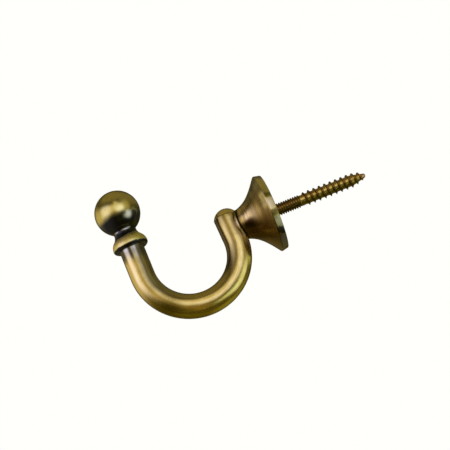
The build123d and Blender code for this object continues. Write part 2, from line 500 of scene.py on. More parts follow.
def mesh_object(name, points, faces, sharp):
    """Object from rows of points in millimetres and a list of faces."""
    mesh = bpy.data.meshes.new(name)
    mesh.from_pydata((points * MM).tolist(), [], faces)
    tidy_mesh(mesh, sharp)
    return new_object(name, mesh)


def skin_object(name, rings, ends):
    """Closed skin over rings of points (rings x around x 3), with a pole point at each end."""
    count, around = rings.shape[:2]
    points = np.vstack([rings.reshape(-1, 3), *ends])
    index = np.arange(count * around).reshape(count, around)
    after = np.roll(index, -1, axis=1)
    quads = np.stack([index[:-1], after[:-1], after[1:], index[1:]], -1).reshape(-1, 4)
    first = [(count * around, int(b), int(a)) for a, b in zip(index[0], after[0])]
    last = [(count * around + 1, int(a), int(b)) for a, b in zip(index[-1], after[-1])]
    return mesh_object(name, points, quads.tolist() + first + last, SHARP)


def boolean(obj, tool, operation):
    """Joins the tool to the object or takes it out, and deletes the tool."""
    modifier = obj.modifiers.new(operation.lower(), "BOOLEAN")
    modifier.operation = operation
    modifier.solver = "EXACT"
    modifier.object = tool
    bpy.context.view_layer.update()
    mesh = bpy.data.meshes.new_from_object(obj.evaluated_get(bpy.context.evaluated_depsgraph_get()))
    obj.modifiers.clear()
    old = obj.data
    obj.data = mesh
    mesh.name = obj.name
    bpy.data.meshes.remove(old)
    bpy.data.objects.remove(tool)


def leg(side):
    """Bend's end, upward and outward direction of a leg, as (y, z). Side is 1 for near and -1 for far."""
    lean = math.radians(NEAR_LEAN if side > 0 else FAR_LEAN)
    end = np.array([BEND_Y + side * BEND_R * math.cos(lean), BEND_Z + BEND_R * math.sin(lean)])
    up = np.array([-side * math.sin(lean), math.cos(lean)])
    return end, up, side * np.array([up[1], -up[0]])


def on_leg(side, height):
    """Point (y, z) of a leg's axis at a height."""
    end, up, _ = leg(side)
    return end + up * (height - end[1]) / up[1]


def rings_about(centres, outward, radius):
    """Rings in the planes of X and the outward direction. Centres and outward are rows of (y, z)."""
    outward = np.broadcast_to(outward, centres.shape)
    radius = np.broadcast_to(radius, len(centres))[:, None]
    y = centres[:, :1] + radius * ALONG * outward[:, :1]
    z = centres[:, 1:] + radius * ALONG * outward[:, 1:]
    return np.stack([radius * ACROSS, y, z], -1)


def finial_outline():
    """(radius, drop) from the ball's top to the bar, by way of the ball, neck, collar and root fillet."""
    hollow_r = (NECK_R**2 + NECK_DROP**2 - BALL_R**2) / (2 * (BALL_R - NECK_R))
    hollow = (NECK_R + hollow_r, NECK_DROP)
    sweep = (NECK_R + COLLAR_HOLLOW_R, NECK_DROP)
    rise = COLLAR_DROP - NECK_DROP
    gap = sweep[0] - COLLAR_R
    bulge_r = (gap**2 + rise**2 - COLLAR_HOLLOW_R**2) / (2 * (COLLAR_HOLLOW_R - gap))
    bulge = (COLLAR_R - bulge_r, COLLAR_DROP)
    edge = (COLLAR_R - COLLAR_EDGE_R, COLLAR_DROP)
    fall = COLLAR_BASE_DROP - COLLAR_DROP
    base = (edge[0] + math.sqrt(COLLAR_EDGE_R**2 - fall**2), COLLAR_BASE_DROP)
    top = (BALL_START_R, -math.sqrt(BALL_R**2 - BALL_START_R**2))
    foot = towards((0, 0), hollow, BALL_R)
    turn = towards(sweep, bulge, COLLAR_HOLLOW_R)
    root = (BAR_R + COLLAR_ROOT_FILLET, COLLAR_BASE_DROP)
    root_end = (BAR_R, COLLAR_BASE_DROP + COLLAR_ROOT_FILLET)
    return join(
        arc((0, 0), BALL_R, top, (BALL_R, 0), 40),
        arc((0, 0), BALL_R, (BALL_R, 0), foot, 40),
        arc(hollow, hollow_r, foot, (NECK_R, NECK_DROP), 14),
        arc(sweep, COLLAR_HOLLOW_R, (NECK_R, NECK_DROP), turn, 24),
        arc(bulge, bulge_r, turn, (COLLAR_R, COLLAR_DROP), 16),
        arc(edge, COLLAR_EDGE_R, (COLLAR_R, COLLAR_DROP), base, 12),
        line(base, root, 5),
        arc((root[0], root_end[1]), COLLAR_ROOT_FILLET, root, root_end, 6),
    )


def crown_rings():
    """Rings over the rounded end of the near leg, out to the bar's radius."""
    _, up, out = leg(1)
    crown = on_leg(1, CROWN_Z)
    rings = []
    for share in np.sin(np.linspace(START_SHARE, 1, CROWN_RINGS) * math.pi / 2):
        across, along = share * BAR_R * ACROSS, share * BAR_R * ALONG
        height = np.sqrt(CROWN_R**2 - across**2 - (along + CROWN_OFFSET)**2)
        y, z = crown[:, None] + out[:, None] * along + up[:, None] * height
        rings.append(np.stack([across, y, z], -1))
    return rings


def hook_rings():
    """Rings of the hook: crown, near leg, bend, far leg, collar, neck and ball."""
    rings = crown_rings()
    end, up, out = leg(1)
    rises = np.linspace((on_leg(1, CROWN_Z) - end) @ up, 0, NEAR_LEG_RINGS)
    rings.extend(rings_about(end + up * rises[:, None], out, BAR_R))

    psi = np.radians(np.linspace(NEAR_LEAN, -180 - FAR_LEAN, BEND_RINGS))[1:]
    round_bend = np.stack([np.cos(psi), np.sin(psi)], -1)
    rings.extend(rings_about((BEND_Y, BEND_Z) + BEND_R * round_bend, round_bend, BAR_R))

    end, up, out = leg(-1)
    ball = on_leg(-1, BALL_Z)
    profile = finial_outline()[::-1]
    rises = np.linspace(0, (ball - end) @ up - profile[0][1], FAR_LEG_RINGS)[1:-1]
    rings.extend(rings_about(end + up * rises[:, None], out, BAR_R))
    rings.extend(rings_about(ball - up * profile[:, 1:], out, profile[:, 0]))
    return np.array(rings)


def make_hook():
    """The whole hook as one skin, trimmed at the saddle, with the boss added and the bore taken out."""
    rings = hook_rings()
    x, y, z = np.moveaxis(rings, -1, 0)
    seat = seat_depth(x)
    past = (y > seat) & (np.hypot(x, z) < ROSE_NECK_R)
    rings[..., 1] = np.where(past, seat - SADDLE_GAP, y)
    tip = (0, *(on_leg(1, CROWN_Z) + leg(1)[1] * CROWN_R))
    top = (0, *(on_leg(-1, BALL_Z) + leg(-1)[1] * BALL_R))
    hook = skin_object("hook_antique_brass", rings, (tip, top))
    boolean(hook, boss(), "UNION")
    boolean(hook, bore(), "DIFFERENCE")
    tidy_mesh(hook.data, SHARP)
    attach(hook, "root")
    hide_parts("hook")
    return hook


def ring(radius, y):
    """Ring of points about the bolt's axis. Radius and y are one value, or one for each angle."""
    return np.stack([radius * ACROSS, np.broadcast_to(y, AROUND), radius * ALONG], -1)


def seat_depth(x):
    """Y of the saddle surface between the hook and the rose, at a distance from the middle."""
    return SEAT_Y - SEAT_R + np.sqrt(SEAT_R**2 - x**2)


def saddle_edge(radius_at, low, high):
    """For each angle round the bolt's axis, the y at which a turned flank meets the saddle surface."""
    low, high = np.full(AROUND, float(low)), np.full(AROUND, float(high))
    for _ in range(HALVINGS):
        middle = (low + high) / 2
        short = middle < seat_depth(radius_at(middle) * ACROSS)
        low, high = np.where(short, middle, low), np.where(short, high, middle)
    return (low + high) / 2


def bore():
    """Blind tapped hole for the bolt, with the cone that its drill leaves."""
    tip = BORE_END_Y - DRILL_POINT_HEIGHT
    mouth = SEAT_Y + 1           # past the saddle, for a clean cut
    outline = ((AXIS_R, tip), (MACHINE_R, BORE_END_Y), (MACHINE_R, mouth), (AXIS_R, mouth))
    rings = np.array([ring(r, y) for r, y in outline])
    return skin_object("bore", rings, ((0, tip, 0), (0, mouth, 0)))


def boss():
    """Short flare on the leg that widens it to the neck of the rose, ending on the saddle surface."""
    def radius_at(y):
        share = np.clip((y - BOSS_ROOT_Y) / (BOSS_LIP_Y - BOSS_ROOT_Y), 0, 1)
        return BOSS_ROOT_R + share * (BOSS_R - BOSS_ROOT_R)

    edge = saddle_edge(radius_at, BOSS_ROOT_Y, SEAT_Y)
    rings = []
    for share in np.linspace(0, 1, BOSS_RINGS):
        y = BOSS_ROOT_Y + (edge - BOSS_ROOT_Y) * share
        rings.append(ring(radius_at(y), y))
    for share in np.linspace(1, START_SHARE, BOSS_END_RINGS)[1:]:
        radius = radius_at(edge) * share
        rings.append(ring(radius, seat_depth(radius * ACROSS)))
    return skin_object("boss", np.array(rings), ((0, BOSS_ROOT_Y, 0), (0, SEAT_Y, 0)))


def rose_flank():
    """(radius, y) of the rose's outside, from its neck to its back edge."""
    lean, flare = math.radians(ROSE_NECK_ANGLE), math.radians(FLARE_ANGLE)
    a = np.array([ROSE_NECK_R, ROSE_NECK_Y])
    d = np.array([RIM_CORNER_R, RIM_CORNER_Y])
    b = a + ROSE_NECK_REACH * np.array([math.sin(lean), math.cos(lean)])
    c = d - FLARE_REACH * np.array([math.sin(flare), math.cos(flare)])
    t = np.linspace(0, 1, FLANK_POINTS)[:, None]
    curve = a * (1 - t)**3 + 3 * b * t * (1 - t)**2 + 3 * c * t**2 * (1 - t) + d * t**3
    back = np.array([RIM_BACK_R, 0.0])
    rim = rounded(c, d, back, RIM_FILLET, RIM_POINTS)
    edge = rounded(d, back, (0, 0), BACK_EDGE_FILLET, BACK_EDGE_POINTS)
    return np.vstack([curve[curve[:, 1] < rim[0][1]], rim, edge])


def make_rose():
    """Trumpet rose: hole, saddle, flank from the saddle to the rim, flat back ring and relief."""
    outline = rose_flank()
    radii, depths = outline.T
    rim_start = len(outline) - RIM_POINTS - BACK_EDGE_POINTS
    edge = saddle_edge(lambda y: np.interp(y, depths, radii), ROSE_NECK_Y, SADDLE_TOP_Y)
    neck = np.interp(edge, depths, radii)
    rings = [ring(ROSE_HOLE_R, -RELIEF_DEPTH), ring(ROSE_HOLE_R, HOLE_MIDDLE_Y)]
    for share in np.linspace(0, 1, SADDLE_RINGS):
        radius = ROSE_HOLE_R + (neck - ROSE_HOLE_R) * share
        rings.append(ring(radius, seat_depth(radius * ACROSS)))
    for share in np.linspace(0, 1, FLANK_RINGS)[1:]:
        y = edge + (depths[rim_start] - edge) * share
        rings.append(ring(np.interp(y, depths, radii), y))
    relief = ((RELIEF_R, 0.0), (RELIEF_R, -RELIEF_DEPTH), (ROSE_HOLE_R + CLOSE_GAP, -RELIEF_DEPTH))
    rings.extend(ring(r, y) for r, y in (*outline[rim_start + 1:], *relief))
    index = np.arange(len(rings) * AROUND).reshape(-1, AROUND)
    after = np.roll(index, -1, axis=0)
    quads = np.stack([index, np.roll(index, -1, axis=1), np.roll(after, -1, axis=1), after], -1)
    points = np.array(rings).reshape(-1, 3)
    rose = mesh_object("rose_antique_brass", points, quads.reshape(-1, 4).tolist(), ROSE_SHARP)
    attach(rose, "root")
    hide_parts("rose")
    return rose


# ---------------------------------------------------------------- hanger bolt

BOLT_AROUND = 48                 # points in each turn of a thread
BOLT_ROWS = 20                   # rows of points in each turn of a thread
PITCH_CHANGE_Y = MACHINE_END_Y - 1.2
PITCH_CHANGE = 1.6
MACHINE_CREST_SHARE = 0.12       # of half a pitch
MACHINE_FLANK_SHARE = 0.70       # of half a pitch


def wood_core(y):
    """Root radius of the wood thread, narrowing towards the blunt tip."""
    share = np.clip((y - TAPER_START_Y) / (TIP_Y - TIP_R - TAPER_START_Y), 0, 1)
    body = WOOD_ROOT_R + (TIP_R - WOOD_ROOT_R) * share
    end = np.sqrt(np.clip(TIP_R**2 - np.clip(y - (TIP_Y - TIP_R), 0, TIP_R)**2, 0, None))
    return np.where(y > TIP_Y - TIP_R, end, body)


def wood_radius(y, angle):
    """Outside of the wood thread, whose hollow flanks rise to a narrow crest and fade at both ends."""
    turn = (y - WOOD_START_Y) / WOOD_PITCH
    share = (angle - math.radians(WOOD_START_ANGLE)) / (2 * math.pi)
    at = np.round(turn - share) + share
    off = np.abs(turn - at) * WOOD_PITCH
    fade = np.clip(np.minimum(at / FADE_IN_TURNS, (WOOD_TURNS - at) / FADE_OUT_TURNS), 0, 1)
    height = (WOOD_CREST_R - WOOD_ROOT_R) * fade
    flank = np.clip((WOOD_BASE_WIDTH / 2 - off) / (WOOD_BASE_WIDTH / 2 - WOOD_CREST_WIDTH / 2), 0, 1)
    return wood_core(y) + height * flank**2


def machine_radius(y, angle):
    """Outside of the machine thread, with its chamfered start and its run-out."""
    turn = (y - MACHINE_END_Y) / MACHINE_PITCH - angle / (2 * math.pi)
    off = np.abs(turn - np.round(turn)) * 2
    thread = MACHINE_R - MACHINE_DEPTH * np.clip((off - MACHINE_CREST_SHARE) / MACHINE_FLANK_SHARE, 0, 1)
    start = MACHINE_R - MACHINE_CHAMFER + (y - MACHINE_START_Y)
    left = np.clip((MACHINE_END_Y + MACHINE_RUN_OUT - y) / MACHINE_RUN_OUT, 0, 1)
    return np.minimum(np.minimum(thread, start), WOOD_ROOT_R + left * (MACHINE_R - WOOD_ROOT_R))


def bolt_steps():
    """Y of each row where it starts, with the pitch changing smoothly from one thread to the other."""
    steps = []
    y = MACHINE_START_Y - WOOD_PITCH
    while y < TIP_Y + WOOD_PITCH:
        steps.append(y)
        share = min(max((y - PITCH_CHANGE_Y) / PITCH_CHANGE, 0), 1)
        share = share * share * (3 - 2 * share)
        y += (MACHINE_PITCH + (WOOD_PITCH - MACHINE_PITCH) * share) / BOLT_ROWS
    return np.array(steps)


def close_mesh(mesh):
    """Joins the rows where they meet and fills the two ends."""
    bm = bmesh.new()
    bm.from_mesh(mesh)
    bmesh.ops.remove_doubles(bm, verts=bm.verts, dist=2e-6)
    bmesh.ops.dissolve_degenerate(bm, edges=bm.edges, dist=1e-7)
    bmesh.ops.holes_fill(bm, edges=[e for e in bm.edges if e.is_boundary], sides=0)
    bm.to_mesh(mesh)
    bm.free()


def make_bolt():
    """Both threads as one closed skin, whose rows of points run along the helix of each thread."""
    angle = np.arange(BOLT_AROUND) / BOLT_AROUND * 2 * math.pi
    steps = bolt_steps()
    here, next_turn = steps[:-BOLT_ROWS, None], steps[BOLT_ROWS:, None]
    y = np.clip(here + (next_turn - here) * angle / (2 * math.pi), MACHINE_START_Y, TIP_Y)
    wood = wood_radius(y, angle)
    both = np.maximum(machine_radius(y, angle), np.where(y > WOOD_START_Y, wood, 0))
    r = np.where(y < MACHINE_END_Y + MACHINE_RUN_OUT, both, wood)
    points = np.stack([r * np.sin(angle), y, r * np.cos(angle)], -1).reshape(-1, 3)
    index = np.arange(y.size).reshape(y.shape)
    faces = []
    for j in range(BOLT_AROUND):
        a, b = index[:, j], index[:, (j + 1) % BOLT_AROUND]
        if j + 1 == BOLT_AROUND:
            a, b = a[:-BOLT_ROWS], b[BOLT_ROWS:]
        faces.append(np.stack([a[:-1], a[1:], b[1:], b[:-1]], -1))
    mesh = bpy.data.meshes.new("bolt_threads")
    mesh.from_pydata((points * MM).tolist(), [], np.vstack(faces).tolist())
    close_mesh(mesh)
    tidy_mesh(mesh, BOLT_SHARP)
    bolt = new_object("bolt_threads", mesh)
    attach(bolt, "root")
    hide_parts("hanger_bolt")
    return bolt


# ---------------------------------------------------------------- materials

# The bounds of a mask are millimetres, degrees, a level of noise or a share of one.

# Places on the hook, in millimetres
CROWN_EDGE_Z = 4.0               # where the crown meets the bar
BALL_Y = -46.3                   # the ball's centre
NEAR_AXIS_Y = -14.85             # the near leg's axis at the height of the bolt
DULL_PATCH = (3.6, -42.4, -17.0)  # where the outside of the bend is mottled brown
WORN_SPOT = (6.1, -43.5, 15.6)   # where a grey glint is painted on the patina under the ball
BRIGHT_SPOT = (7.25, -47.6, 18.9)  # where a highlight is painted on the ball

# Colours of the hook. Where there are two, a mask or the noise goes from the first to the second.
GOLD = ((0.80, 0.62, 0.25), (0.73, 0.55, 0.19))
BALL_GOLD = ((0.82, 0.70, 0.29), (0.74, 0.62, 0.23))
COLLAR_GOLD = ((1.0, 0.80, 0.36), (0.90, 0.80, 0.24))
INSIDE_BROWN = ((0.60, 0.47, 0.17), (0.13, 0.09, 0.045))
FAR_LEG_BROWN = ((0.20, 0.17, 0.09), (0.42, 0.38, 0.22))
PATINA = ((0.030, 0.032, 0.038), (0.055, 0.055, 0.050))
FLECK_BROWN = (0.38, 0.26, 0.09)
DRAWN_DARK = (0.46, 0.34, 0.11)
DRAWN_PALE = (0.98, 0.82, 0.42)
BRIGHT_GOLD = (1.0, 0.88, 0.42)
PIT_BROWN = (0.34, 0.24, 0.09)
OUTER_GOLD = (0.92, 0.74, 0.37)
EDGE_BROWN = (0.40, 0.31, 0.14)
DULL_BROWN = (0.36, 0.27, 0.07)
GAP_BROWN = (0.36, 0.26, 0.09)
HOLLOW_BROWN = (0.33, 0.25, 0.11)
VEIL_BROWN = (0.30, 0.19, 0.08)
DOME_GOLD = (0.97, 0.79, 0.37)
SHELTERED_GOLD = (0.84, 0.50, 0.07)
RIGHT_GREY = (0.25, 0.24, 0.18)
LIP_GOLD = (1.0, 0.93, 0.48)
GLINT_GOLD = (1.0, 0.84, 0.60)
BAR_GREY = (0.46, 0.43, 0.38)
TIP_GREY = (0.62, 0.60, 0.57)
STREAK_BLACK = (0.055, 0.050, 0.045)
WORN_GREY = (0.53, 0.47, 0.50)
NECK_GREY = (0.50, 0.50, 0.54)
CREASE_BROWN = (0.045, 0.032, 0.018)

# Colours of the rose
ROSE_GOLD = ((0.72, 0.53, 0.25), (0.62, 0.45, 0.18))
UPPER_GOLD = ((1.0, 0.92, 0.80), (0.84, 0.76, 0.52))
RIM_GOLD = ((0.88, 0.75, 0.33), (0.80, 0.74, 0.50))
BACK_GOLD = ((0.66, 0.46, 0.27), (0.50, 0.34, 0.18))
ROSE_NECK_GOLD = (0.90, 0.68, 0.34)
TURNED_DARK = (0.34, 0.24, 0.11)
TURNED_PALE = (0.98, 0.80, 0.46)
DUSKY_BROWN = (0.30, 0.24, 0.10)
RUBBED_GOLD = (1.0, 0.86, 0.54)
GROOVE_BROWN = (0.30, 0.21, 0.10)
LOWER_BROWN = (0.17, 0.09, 0.018)
HOLLOW_BLACK = (0.06, 0.028, 0.008)
LOWER_LIP_GOLD = (0.50, 0.36, 0.13)
SEAM_BROWN = (0.035, 0.022, 0.012)
DARK_HOLLOW = (5.4, -6.7, -2.8)  # centre of a dark reflection painted on the flank, in squeezed millimetres
HOLLOW_SQUEEZE = (1.0, 0.75, 1.25)

# Bands of painted reflection and shade along the rim by height: lower and upper edge, softness, colour
RIM_PATCHES = (
    (1.4, 3.2, 0.6, (0.24, 0.20, 0.04)),
    (-2.0, 1.3, 0.6, (0.66, 0.55, 0.34)),
    (-5.0, -2.6, 0.6, (0.29, 0.22, 0.07)),
    (-7.9, -5.0, 0.4, (0.31, 0.27, 0.20)),
    (-10.0, -7.9, 0.3, (0.07, 0.07, 0.06)),
    (-14.0, -10.0, 0.4, (0.20, 0.175, 0.52)),
)

# Colours of the bolt
PLATING = ((0.62, 0.44, 0.11), (0.50, 0.32, 0.08))
FINE_THREAD_BROWN = (0.24, 0.15, 0.05)
CREST_BROWN = (0.17, 0.10, 0.035)
UNDER_OLIVE = (0.16, 0.13, 0.02)
TIP_COPPER = (0.66, 0.40, 0.24)
TIP_START_Y = 29.8

COAT_ROUGHNESS = 0.12
BUMP_HEIGHT = 0.0001             # metres


def millimetres(n):
    """The object's own coordinates in millimetres, as a vector, x, y and z."""
    place = n.add("ShaderNodeTexCoord").outputs["Object"]
    mm = n.add("ShaderNodeMapping", Vector=place, Scale=(1 / MM, 1 / MM, 1 / MM)).outputs[0]
    return mm, *n.add("ShaderNodeSeparateXYZ", Vector=mm).outputs


def past_saddle(n, x, y):
    """Distance past the saddle surface between the hook and the rose, along the bolt."""
    flat = n.minus(SEAT_R**2, n.math("POWER", x, 2.0))
    seat = n.plus(SEAT_Y - SEAT_R, n.math("SQRT", n.largest(flat, 0.0)))
    return n.minus(y, seat)


def finish(n, colour, rough, bump, coat, metal=1.0):
    """Metal under a thin lacquer, less metallic where patina covers it."""
    shader = n.add("ShaderNodeBsdfPrincipled", **{
        "Base Color": colour, "Metallic": metal, "Roughness": rough,
        "Coat Weight": coat, "Coat Roughness": COAT_ROUGHNESS,
    })
    if bump:
        n.put(shader.inputs["Normal"], bump.outputs[0])
    n.output("Material", shader)


def hook_places(n):
    """Where a point is on the hook, and the noise that its masks share."""
    p = SimpleNamespace()
    p.mm, p.x, p.y, p.z = millimetres(n)
    p.cloud = n.noise(p.mm, 0.35, 4.0, 0.55)
    p.clouds = n.ramp(p.cloud, 0.35, 0.65)
    p.fleck = n.noise(p.mm, 2.4, 3.0, 0.6)
    p.far = n.fall(p.y, -34.0, -30.0)
    p.near = n.ramp(p.y, -25.0, -22.0)
    p.near_bend = n.ramp(p.y, -30.0, -26.0)
    p.shank = n.fall(p.z, CROWN_EDGE_Z - 0.1, CROWN_EDGE_Z + 0.1)
    p.near_axis = n.minus(p.y, NEAR_AXIS_Y)

    # Down the far leg from the ball's centre, true and ragged
    p.drop = n.minus(BALL_Z, p.z)
    p.ragged = n.plus(p.drop, n.swing(p.cloud, 1.6))
    p.far_side = n.times(p.far, n.ramp(p.ragged, 11.5, 12.5))

    # Inward from the bar's axis, and the angle round the bar from its outside
    below = n.math("MINIMUM", n.minus(p.z, BEND_Z), 0.0)
    p.inward = n.minus(BEND_R, n.length(n.minus(p.y, BEND_Y), below))
    turn = n.angle(n.math("ABSOLUTE", p.x), n.times(p.inward, -1.0))
    p.turn = n.plus(turn, n.swing(p.cloud, 16.0))
    return p


def patina_masks(n, p):
    """Black patina on the ball, neck and bar, where it is thin, and glints painted on it: a grey spot under
    the ball and short streaks on the neck.
    """
    m = SimpleNamespace()
    on_ball = n.times(n.ramp(p.ragged, 0.9, 3.1), n.fall(p.ragged, 7.7, 8.5))
    slanted = n.plus(p.drop, n.times(n.minus(p.y, BALL_Y), 0.14))
    on_neck = n.times(n.ramp(p.ragged, 6.0, 7.0), n.fall(slanted, 8.7, 9.1))
    m.under_collar = n.ramp(p.ragged, COLLAR_DROP + 0.1, COLLAR_DROP + 0.5)
    root = n.fall(p.drop, COLLAR_BASE_DROP - 0.1, COLLAR_BASE_DROP + 0.3)
    m.black = n.times(n.largest(on_ball, on_neck, n.times(m.under_collar, root)), p.far)
    m.dim = n.times(n.ramp(p.y, BALL_Y + 3.0, BALL_Y + 4.8), n.fall(p.ragged, 6.0, 7.0))
    # painted highlight: a grey spot on the black patina under the ball
    m.worn = n.near(p.mm, WORN_SPOT, 0.4, 2.1)

    # By the angle round the far leg, from -Y
    m.round_far = n.angle(p.x, n.minus(BALL_Y, p.y))
    # painted highlights: short grey streaks on the neck's patina
    glints = n.plus(n.band(m.round_far, 30.0, 52.0, 6.0), n.band(m.round_far, 76.0, 118.0, 8.0))
    m.neck = n.times(n.band(p.drop, 6.55, 7.0, 0.25), p.far, glints)
    return m


def finial_masks(n, p, patina):
    """Gold of the ball and collar, with painted highlights on both, and the grey of the bar under them, with
    painted highlights at the top of its light streaks and dark streaks of painted reflection.
    """
    m = SimpleNamespace()
    above = n.ramp(p.z, 10.0, 12.0)
    m.ball = n.times(n.fall(p.ragged, 5.0, 6.5), p.far, above)
    # painted highlight: a brighter gold spot on the ball
    m.bright = n.near(p.mm, BRIGHT_SPOT, 0.3, 1.7)
    m.pits = n.times(n.ramp(n.noise(p.mm, 1.15, 2.0, 0.5), 0.66, 0.71, 0.0, 0.45), m.ball)
    low_right = n.ramp(p.z, 16.2, 18.4, 1.0, 0.25)
    m.right = n.times(n.ramp(p.y, BALL_Y + 3.0, BALL_Y + 7.0), above, low_right, p.far)
    m.collar = n.times(n.band(p.drop, 8.6, COLLAR_BASE_DROP, 0.5), p.far)
    # painted highlight: a bright line along the collar's lower edge
    m.lip = n.times(n.band(p.drop, COLLAR_DROP - 0.35, COLLAR_DROP + 0.05, 0.15), p.far)
    # painted highlight: pale ends of the light streaks just under the collar
    m.tips = n.times(n.band(p.drop, COLLAR_BASE_DROP + 0.3, COLLAR_BASE_DROP + 1.3, 0.4), p.far)
    m.grey = n.fall(p.ragged, COLLAR_BASE_DROP + 0.6, COLLAR_BASE_DROP + 5.5)
    m.grey = n.times(m.grey, patina.under_collar, p.far)

    # dark streaks of painted reflection, by the angle round the far leg, between the light ones
    left = n.fall(patina.round_far, 36.0, 50.0)
    middle = n.band(patina.round_far, 67.0, 82.0, 5.0)
    right = n.ramp(patina.round_far, 98.0, 107.0, 0.0, 0.72)
    faint = n.times(n.band(patina.round_far, 86.0, 98.0, 4.0), n.ramp(p.drop, 14.0, 16.5, 0.38, 0.0))
    streaks = n.plus(n.plus(n.plus(middle, right), left), faint)
    m.streaks = n.times(streaks, patina.under_collar, n.fall(p.ragged, 15.0, 19.0), p.far)
    return m


def bar_masks(n, p):
    """Painted shade and painted highlights along the bent bar, and a mottled brown patch on it."""
    m = SimpleNamespace()
    near_leg = n.times(n.ramp(p.z, -17.0, -8.0), p.near_bend)
    # painted shade: the inside of the U browner, and much darker up the near leg
    inside_from = n.plus(115.0, n.times(near_leg, 19.0))
    m.inside = n.times(n.ramp(n.minus(p.turn, inside_from), -8.0, 14.0), p.shank)
    m.shaded = n.times(n.ramp(p.z, -16.0, -8.0), p.near_bend)
    # painted shade: darker brown on the inner side of the bend towards the near leg
    m.hollow = n.times(n.ramp(p.turn, 86.0, 110.0), n.band(p.z, -14.5, -5.5, 3.5), n.ramp(p.y, -28.0, -23.0))
    # painted shade: a dark band between two highlight stripes, on the near leg and its end of the bend
    m.gap = n.times(n.band(p.turn, 101.0, 116.0, 8.0), near_leg, p.shank, n.ramp(p.z, -6.0, 2.0, 0.90, 0.50))
    # painted shade: browner towards the inner side of the far leg
    m.far_leg = n.times(n.ramp(p.turn, 74.0, 112.0), p.far_side, n.ramp(p.z, -18.0, -9.0))
    # painted highlight: paler gold along the outer side of the far leg
    m.outer = n.times(n.fall(p.turn, 55.0, 75.0), p.far_side, n.ramp(p.z, -15.0, -9.0))
    # painted shade: darker brown along the outermost side of the far leg
    m.far_edge = n.times(n.fall(p.turn, 12.0, 34.0), p.far_side)
    m.dull = n.times(n.near(p.mm, DULL_PATCH, 1.0, 5.5), n.ramp(p.fleck, 0.30, 0.62, 0.55, 1.0))
    # painted light: a duller, less metallic orange-gold patch on the outer side of the near leg, lightening
    # its dark reflection
    m.sheltered = n.times(n.fall(p.turn, 48.0, 64.0), n.band(p.z, -7.0, -1.0, 2.0), p.near)

    # painted shade: a browner band round the near leg's top, where the rose shades it
    round_near = n.angle(p.x, n.times(p.near_axis, -1.0))
    height = n.times(n.ramp(p.z, -7.0, 0.5), p.shank, n.ramp(p.z, 1.0, 3.5, 1.0, 0.35))
    m.veil = n.times(n.band(round_near, 98.0, 150.0, 8.0), p.near, height)
    return m


def joint_masks(n, p):
    """Painted shade in the creases where the hook meets the rose and where the crown meets the bar, a
    painted glint on the hook beside the rose, and the crown's dome.
    """
    m = SimpleNamespace()
    off_axis = n.length(p.x, p.near_axis)
    around_bolt = n.fall(n.length(p.x, p.z), 5.2, 5.6)
    # painted shade: dark brown lines where the boss meets the leg, on the hook's edge at the saddle and
    # along the crown's edge
    crease = n.times(n.band(off_axis, 4.02, 4.55, 0.10), around_bolt, n.ramp(p.z, 0.0, 3.5, 0.35, 0.8))
    past = n.plus(past_saddle(n, p.x, p.y), n.ramp(p.z, 1.5, 4.5, 0.0, 0.5))
    lip = n.times(n.ramp(past, -0.20, -0.08), around_bolt)
    crown = n.times(n.band(p.z, CROWN_EDGE_Z - 0.15, CROWN_EDGE_Z + 0.15, 0.12), p.near)
    m.crease = n.largest(crease, lip, n.times(crown, 0.35))
    m.glint = n.times(n.band(past, -0.75, -0.30, 0.12), around_bolt, n.fall(p.z, 1.0, 3.0))
    m.dome = n.times(n.ramp(p.z, CROWN_EDGE_Z, CROWN_EDGE_Z + 0.3), p.near)
    return m


